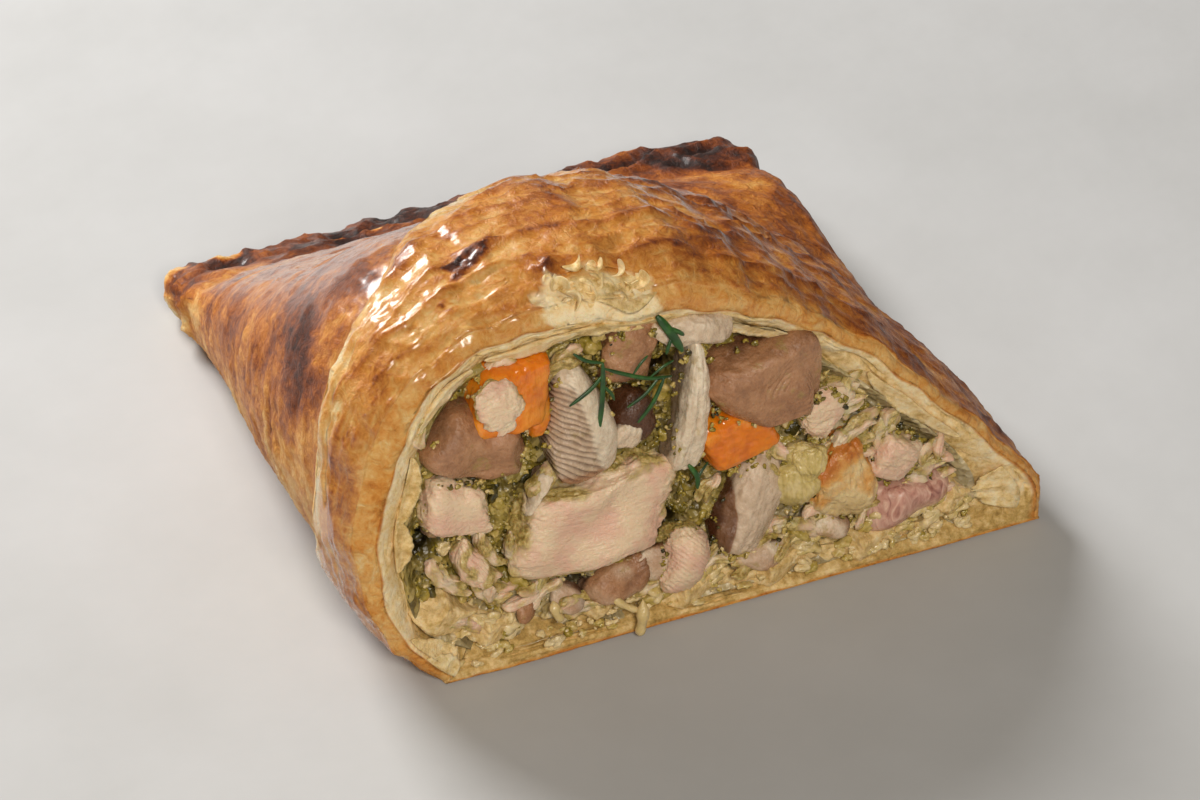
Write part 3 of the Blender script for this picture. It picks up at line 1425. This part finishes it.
def low_curds():
    """Soft cheese and soaked crumbs pressed into the low edge of the cut."""
    rng = random.Random(21)
    lumps = []
    for _ in range(CURD_TRIES):
        across = rng.uniform(12.0, 92.0)
        up = 1.9 + 6.0 * rng.random() ** 1.3
        size = rng.uniform(0.6, 2.4) * (1.0 if up > 3.6 else 0.6)
        if grain(Vector((across, 0.0, up)), 6.0, 8.0) < rng.uniform(-0.5, 0.2):
            continue
        stretch = (size * rng.uniform(1.0, 2.2), size, size * rng.uniform(0.5, 0.9))
        shape = crumb_shape(size, clamp(rng.gauss(0.86, 0.16)), rng.uniform(0, 90), 0.32)
        back = CUT_DISH * clamp(up / BASE_WALL) ** 1.4 - 0.9
        centre = in_world(Vector((across, back + rng.uniform(0.0, 0.6), up)))
        lumps.append((centre, stretch, turned(rng.gauss(-4, 22)), 2.3, 3, shape))
    return lumps


def make_cheese(finish):
    """Melted strands that hang over the low edge of the cut."""
    strands = [
        ([(40.9, 1.2, 6.4), (40.6, 1.9, 4.0), (40.4, 1.7, 1.8), (40.2, 1.2, 0.4)], 0.9),
        ([(36.6, 0.0, 7.4), (38.6, 0.9, 5.6), (40.6, 1.4, 4.6)], 0.6),
        ([(27.9, 0.6, 9.8), (28.2, 1.2, 7.8), (29.3, 0.9, 6.2)], 0.75),
    ]
    bm, layers = new_bmesh(["shade"])
    for points, radius in strands:
        add_tube(bm, points, [0.0, radius, 0.7 * radius, 0.8 * radius, 0.0], 12)
    bmesh.ops.remove_doubles(bm, verts=bm.verts, dist=0.03)
    for vert in bm.verts:
        vert[layers["shade"]] = 0.85
    face_outwards(bm)
    add_piece("cheese_strands", bm, finish)


# Where torn strands of chicken lie: across, up, width, length, roll, bend and how many.
SHREDS = [
    (20.0, 13.5, 1.8, 9.0, -52, 1.6, 3),
    (13.5, 17.0, 1.6, 6.0, -30, 1.0, 3),
    (25.5, 11.0, 1.8, 7.0, 70, -1.2, 3),
    (22.5, 46.5, 2.0, 8.5, 66, 1.4, 4),
    (29.5, 47.0, 1.8, 6.5, 48, 0.8, 2),
    (11.5, 41.5, 1.6, 4.5, 10, 0.6, 2),
    (28.0, 28.5, 2.2, 6.4, 24, 0.5, 1),
    (65.0, 9.0, 1.8, 8.0, 78, 1.3, 4),
    (58.0, 7.5, 1.7, 7.0, 96, -1.0, 3),
    (73.5, 21.5, 1.8, 7.0, 58, 1.2, 5),
    (68.0, 22.5, 1.6, 6.0, 20, 0.8, 3),
    (84.5, 12.5, 1.7, 7.0, 70, 1.0, 4),
    (77.0, 9.5, 1.5, 6.0, 84, 0.7, 2),
    (61.5, 23.0, 1.7, 6.5, -20, 0.9, 3),
    (52.0, 8.5, 1.6, 6.0, 80, 0.8, 2),
    (33.0, 6.6, 1.5, 6.0, 88, 0.6, 3),
    (43.5, 7.0, 1.5, 5.0, 60, 0.6, 2),
    (16.0, 9.0, 1.6, 6.0, 100, 0.7, 2),
    (88.0, 9.0, 1.6, 6.0, 60, 0.8, 4),
    (79.0, 22.0, 1.7, 6.5, 50, 0.9, 4),
    (72.0, 29.0, 1.6, 6.0, 52, 0.7, 4),
    (66.0, 34.0, 1.6, 6.0, 44, 0.8, 3),
    (70.0, 11.5, 1.5, 5.0, 70, 0.6, 3),
    (52.5, 20.0, 1.5, 5.0, 40, 0.8, 2),
    (24.5, 19.0, 1.5, 5.5, -30, 0.8, 2),
    (87.0, 16.5, 1.5, 6.0, 52, 0.6, 3),
]


# Pale flakes of meat stuck on the left piece of pumpkin: across, up, width, length and roll.
PALE_FLAKES = [(-3.3, 0.9, 5.0, 7.4, -24), (-1.9, -3.0, 3.0, 4.6, -12)]


def make_shreds(finish):
    """Torn strands of chicken, as many for each row of the table as it says."""
    rng = random.Random(8)
    bm, layers = new_bmesh(["sauced"])
    for across, up, wide, tall, roll, bend, count in SHREDS:
        for i in range(count):
            x = across + rng.gauss(0, 0.9)
            z = up + (i - 0.5 * count) * 1.3 + rng.gauss(0, 0.4)
            size = [wide * rng.uniform(0.7, 1.2), wide * rng.uniform(0.7, 1.0)]
            size.append(tall * rng.uniform(0.7, 1.15))
            centre = in_world(Vector((x, min(bed_depth(x, z), 2.6) - 0.9, z)))
            turn = turned(roll + rng.gauss(0, 14), rng.gauss(0, 12))
            add_lump(bm, layers, centre, size, turn, 3.0, 4, shred_shape(rng.uniform(0, 50), bend))
    for x, z, wide, tall, roll in PALE_FLAKES:
        place = front_centre("pumpkin_dice_left", 2.2, 1.1) + Vector((x, 0.0, z))
        shape = chicken_shape(x, 0.5, crumbly=1.0)
        add_lump(bm, layers, place, (wide, 2.2, tall), turned(roll), 3.0, 6, shape)
    face_outwards(bm)
    add_piece("meat_shreds", bm, finish)


# Small bits of mushroom: across, up, width, length, roll and how much skin shows.
MUSHROOM_BITS = [
    (31.5, 7.4, 5.6, 3.4, 8, 0.5),
    (45.0, 9.5, 6.0, 4.4, -24, 0.5),
    (24.5, 8.0, 3.4, 2.6, 0, 0.7),
    (59.0, 5.9, 8.0, 2.6, -4, 0.55),
    (26.5, 26.6, 2.1, 6.6, 30, 0.40),
    (70.5, 8.0, 6.0, 3.2, 12, 0.45),
    (12.4, 24.0, 3.0, 3.6, 20, 0.5),
]


def make_mushroom_bits(finish):
    """Grey see-through slices low in the cut and little stems between the larger pieces."""
    bm, layers = new_bmesh(["skin", "fold"])
    for across, up, wide, tall, roll, skin in MUSHROOM_BITS:
        centre = in_world(Vector((across, 2.4, up)))
        shape = cap_shape(across, dark_end=0.5, skin=skin)
        add_lump(bm, layers, centre, (wide, 3.6, tall), turned(roll), 2.6, 5, shape)
    face_outwards(bm)
    add_piece("mushroom_bits", bm, finish)


def add_tube(bm, strand, radii, sides, flatten=1.0):
    """A strand through points that are given as across, forward of the cut and up. The radii run along it."""
    points = [tuple(in_world(Vector((across, -forward, up)))) for across, forward, up in strand]
    count = 10 * (len(points) - 1)
    for vert, (u, v) in add_sheet(bm, sides, count).items():
        at = v * (len(points) - 1)
        centre = Vector(columns(points, at))
        ahead = Vector(columns(points, min(at + 0.1, len(points) - 1)))
        behind = Vector(columns(points, max(at - 0.1, 0.0)))
        tangent = (ahead - behind).normalized()
        side = tangent.cross(Vector((0, 1, 0))).normalized()
        front = side.cross(tangent)
        angle = 2 * math.pi * u
        radius = max(along(radii, v * (len(radii) - 1)), 0.02)
        vert.co = centre + radius * (math.cos(angle) * side + flatten * math.sin(angle) * front)


DILL_TAPER = (0.3, 0.55, 0.62, 0.62, 0.55, 0.25)

# The dill in the cut, as strands through (across, forward of the cut, up), with the radius that the taper
# shares.
DILL = [
    ([(30.6, 1.6, 49.4), (32.2, 2.2, 48.2), (34.4, 2.4, 47.4)], 0.42),
    ([(34.4, 2.4, 47.4), (34.3, 2.7, 44.5), (34.1, 2.6, 40.0), (33.6, 2.3, 35.4)], 0.62),
    ([(34.4, 2.5, 45.6), (32.5, 2.6, 43.8), (29.6, 2.5, 42.0)], 0.50),
    ([(34.4, 2.5, 46.6), (37.5, 2.7, 44.9), (41.0, 2.6, 43.2), (44.4, 2.3, 42.4)], 0.50),
    ([(42.4, 2.5, 42.8), (40.3, 2.7, 40.9), (37.9, 2.5, 39.4)], 0.42),
    ([(43.2, 2.5, 42.6), (41.5, 2.8, 39.4), (39.4, 2.6, 36.6)], 0.50),
    ([(41.2, 2.6, 43.4), (43.0, 2.7, 44.6), (44.6, 2.4, 44.9)], 0.36),
    ([(43.0, 0.6, 51.2), (44.6, 1.4, 48.6), (46.4, 1.4, 45.2)], 1.00),
    ([(47.6, 1.0, 26.4), (48.6, 1.6, 24.6), (48.8, 1.4, 22.4)], 0.62),
    ([(50.6, 0.8, 25.8), (49.2, 1.4, 24.8), (48.6, 1.5, 23.6)], 0.36),
    ([(44.3, 1.2, 49.4), (45.6, 1.5, 48.6), (46.6, 1.3, 47.6)], 0.50),
    ([(44.9, 1.3, 48.0), (44.2, 1.6, 46.6), (44.0, 1.4, 45.4)], 0.46),
    ([(34.3, 2.7, 44.0), (35.4, 2.8, 42.6), (36.0, 2.6, 41.2)], 0.36),
    ([(38.6, 2.7, 44.5), (39.6, 2.8, 46.0), (40.8, 2.5, 46.8)], 0.34),
]


def make_dill():
    """Sprigs of dill over the filling."""
    bm, _ = new_bmesh([])
    for points, radius in DILL:
        add_tube(bm, points, [share * radius for share in DILL_TAPER], 10, 0.7)
    seal(bm, 0.01)
    add_piece("dill", bm, make_dill_finish())


# Torn layers of dough along the cut. Each: from and to round the outline, the shares of the cut's width where
# it starts and ends, how far forward its free edge curls, and how moist it is.
LEAVES = [
    (1.72, 2.28, 0.70, 1.22, 1.6, 0.55),
    (2.22, 2.88, 0.72, 1.25, 1.9, 0.60),
    (3.2, 4.3, 0.55, 1.02, 0.9, 0.10),
    (4.5, 5.6, 0.50, 1.02, 1.0, 0.20),
    (5.4, 6.7, 0.40, 1.25, 1.5, 0.62),
    (6.7, 7.9, 0.45, 1.12, 1.2, 0.35),
    (0.10, 0.95, 0.30, 1.10, 1.2, 0.50),
    (0.05, 0.60, 0.10, 0.75, 1.0, 0.30),
    (8.6, 9.7, 0.50, 1.10, 1.1, 0.35),
    (10.4, 11.6, 0.30, 1.05, 1.2, 0.30),
]


SHEET_LENGTH = 90
SHEET_SEAM = 0.002


def add_torn_sheets(name, finish, sheets, sides, shape):
    """Joins thin sheets of dough into one piece, each a flat section that runs along the outline.

    shape takes a sheet's number, the column, how far along (0 to 1), how far out towards the free edge
    (0 to 1), which face (1 or -1) and the rest of the sheet's row. It gives a point and its tone, dough and
    moist.
    """
    bm, layers = new_bmesh(DOUGH_LAYERS)
    for number, (first, last, *row) in enumerate(sheets):
        for vert, (u, v) in add_sheet(bm, sides, SHEET_LENGTH).items():
            column = Column(lerp(first, last, v))
            point, *values = shape(number, column, v, 1 - abs(2 * u - 1), 1 if u > 0.5 else -1, *row)
            for layer, value in zip(DOUGH_LAYERS, values):
                vert[layers[layer]] = value
            vert.co = in_world(point)
    seal(bm, SHEET_SEAM)
    add_piece(name, bm, finish)


def leaf_shape(number, column, v, out, face, start, end, curl, moist):
    """A torn layer that curls forward from the cut."""
    position = column.position
    fade = math.sin(math.pi * v) ** 0.5
    ragged = 1 + 0.3 * noise.noise(Vector((position * 4.0, number, 0.0)))
    ragged += 0.12 * noise.noise(Vector((position * 17.0, number, 0.0)))
    reach = lerp(start, start + (end - start) * fade * ragged, out)
    point = rim_point(column, 1.0).lerp(column.inner(0.0), reach)
    lift = CUT_DISH * min(reach, 1.0) ** 1.4 - curl * out**2 * fade
    lift -= 0.5 * out * noise.noise(Vector((position * 5.0, number, 3.0)))
    thickness = 0.5 * math.sqrt(max(1 - out * out, 0.0)) * fade + 0.04
    point.y = lift + thickness * face - 0.3
    return point, 0.2, 1.0, clamp(moist + 0.4 * noise.noise(Vector((position * 6.0, 4 * out, number))))


# Thin sheets torn loose over the crown: from and to round the outline, where they start and end in depth, and
# lift.
FLAPS = [
    (5.42, 6.30, 4.4, -0.2, 0.7),
    (5.62, 6.42, 2.8, -1.3, 0.4),
]


def flap_shape(number, column, v, out, face, start, end, rise):
    """A thin sheet that is fast at its back and lifts and hangs over the rim at its front."""
    position = column.position
    fade = math.sin(math.pi * v) ** 0.6
    ragged = 1 + 0.3 * noise.noise(Vector((position * 4.0, number, 5.0)))
    y = lerp(start, end, out * fade * ragged)
    lift = rise * out * fade * (1 + 0.7 * noise.noise(Vector((position * 4.0, number, 7.0)))) - 0.35
    thickness = 0.28 * math.sqrt(max(1 - out * out, 0.0)) * face
    base = column.band(clamp(y / column.lip_end, 0.02))
    point = base + column.outward(max(y, 0.0)) * (lift + thickness - 0.9 * max(-y, 0.0))
    point.y = y
    dough = smoothstep(0.1, 0.45, out + 0.3 * noise.noise(Vector((position * 6.0, y, 9.0))))
    moist = 0.45 + 0.5 * noise.noise(Vector((position * 9.0, y, number)))
    return point, 0.16 + 0.30 * clamp(1 - 2 * out), dough, moist


# Soft soaked dough along the low edge: across, up, size (width, depth, height) and roll.
SOAKED_LUMPS = [
    (13.6, 10.0, (11.0, 4.4, 6.4), 46),
    (21.0, 6.2, (11.5, 4.0, 4.0), 6),
    (37.0, 5.2, (13.0, 3.6, 3.0), -3),
    (50.0, 3.7, (17.0, 4.8, 4.2), 2),
    (63.0, 3.5, (17.0, 4.8, 4.0), -2),
    (77.0, 3.4, (17.0, 4.8, 4.0), 1),
    (90.5, 6.4, (8.5, 3.8, 5.0), 28),
]


def soaked_shape(unit, point, out):
    place = wobble(point + out * 0.4 * rough(point, 2.5, 3.0, 4), 5.0, 2.2, 3.0)
    return place, {"dough": 1.0, "moist": 0.55, "tone": 0.2}


def make_soaked_dough(finish):
    bm, layers = new_bmesh(DOUGH_LAYERS)
    for across, up, size, roll in SOAKED_LUMPS:
        add_lump(bm, layers, in_world(Vector((across, 3.2, up))), size, turned(roll), 2.5, 6, soaked_shape)
    face_outwards(bm)
    add_piece("soaked_dough", bm, finish)


def flake_shape(size, seed, moist):
    """A thin curled flake of dough."""

    def shape(unit, point, out):
        place = wobble(point, 1.2 * size, 0.35 * size, seed)
        place.y -= 0.5 * size * unit.x * unit.x
        return place, {"dough": 1.0, "moist": moist, "tone": 0.2}

    return shape


def torn_flakes():
    """Little flakes of dough loose on the torn patch."""
    rng = random.Random(31)
    lumps = []
    while len(lumps) < FLAKE_COUNT:
        column = Column(rng.uniform(5.25, 6.35))
        y = rng.uniform(0.3, 5.2)
        point = column.band(y / column.lip_end)
        if torn_crust(column.position, point) < rng.uniform(0.1, 0.6):
            continue
        size = rng.uniform(0.6, 2.6)
        centre = in_world(point + column.outward(y) * 0.15)
        turn = turned(rng.uniform(0, 180), 60 + rng.gauss(0, 30), rng.gauss(0, 30))
        shape = flake_shape(size, rng.uniform(0, 90), rng.uniform(0.1, 0.6))
        lumps.append((centre, (size, 0.22 * size, 0.7 * size), turn, 2.6, 4, shape))
    return lumps


# The scene round it

CAMERA_AZIMUTH = math.radians(24.8)
CAMERA_ELEVATION = math.radians(34.7)
CAMERA_DISTANCE = 0.725
FLOOR_GAP = 0.0002


def aim(thing, target):
    direction = target - thing.location
    thing.rotation_euler = direction.to_track_quat("-Z", "Y").to_euler()


def add_camera(middle):
    across = math.cos(CAMERA_ELEVATION)
    ahead = -math.cos(CAMERA_AZIMUTH) * across
    away = Vector((-math.sin(CAMERA_AZIMUTH) * across, ahead, math.sin(CAMERA_ELEVATION)))
    data = bpy.data.cameras.new("camera")
    data.lens = 155
    data.sensor_width = 36
    data.clip_start = 0.01
    camera = add_object("camera", data)
    camera.location = middle + away * CAMERA_DISTANCE
    aim(camera, middle)
    bpy.context.scene.camera = camera


def add_light(name, place, target, size, power, colour):
    data = bpy.data.lights.new(name, "AREA")
    data.shape = "DISK"
    data.size = size
    data.energy = power
    data.color = colour
    light = add_object(name, data)
    light.location = place
    aim(light, target)


def add_floor(finish):
    bm = bmesh.new()
    bmesh.ops.create_grid(bm, x_segments=1, y_segments=1, size=1.5)
    bmesh.ops.translate(bm, vec=(0.0, 0.0, -FLOOR_GAP), verts=bm.verts)
    mesh = bpy.data.meshes.new("floor")
    bm.to_mesh(mesh)
    bm.free()
    mesh.materials.append(finish.material)
    floor = add_object("floor", mesh)


def add_stage():
    middle = Vector((0.0015, -0.0115, 0.0115))
    add_camera(middle)
    add_light("window", Vector((-0.24, 0.58, 0.52)), middle, 0.40, 8.8, (1.0, 0.985, 0.965))
    add_light("bounce", Vector((-0.20, -0.66, 0.50)), middle, 0.20, 4.0, (1.0, 0.94, 0.84))
    add_floor(make_floor_finish())
    world = bpy.data.worlds.new("studio")
    world.use_nodes = True
    sky = world.node_tree.nodes["Background"]
    sky.inputs["Color"].default_value = (1.0, 0.97, 0.93, 1.0)
    sky.inputs["Strength"].default_value = 0.11
    bpy.context.scene.world = world
    bpy.context.scene.view_settings.view_transform = "Standard"


def main():
    add_stage()
    crust = make_crust_finish()
    make_crust(crust)
    add_torn_sheets("torn_leaves", crust, LEAVES, 14, leaf_shape)
    add_torn_sheets("torn_flaps", crust, FLAPS, 22, flap_shape)
    make_soaked_dough(crust)
    add_scatter("torn_flakes", crust, DOUGH_LAYERS, torn_flakes())
    make_bed(make_filling_finish())
    chicken = make_chicken_finish()
    make_chicken(chicken)
    make_shreds(chicken)
    mushroom = make_mushroom_finish()
    make_mushrooms(mushroom)
    make_mushroom_bits(mushroom)
    make_vegetables()
    sauce = make_sauce_finish()
    crumbs = sauce_bits(seed=5, count=2400, sizes=(0.22, 0.62), detail=2)
    lumps = sauce_bits(seed=6, count=230, sizes=(0.8, 1.9), detail=3)
    add_scatter("sauce_crumbs", sauce, ["shade"], crumbs)
    add_scatter("sauce_lumps", sauce, ["shade"], lumps)
    add_scatter("clinging_crumbs", sauce, ["shade"], clinging_crumbs())
    add_scatter("low_curds", sauce, ["shade"], low_curds())
    make_cheese(sauce)
    make_dill()


main()
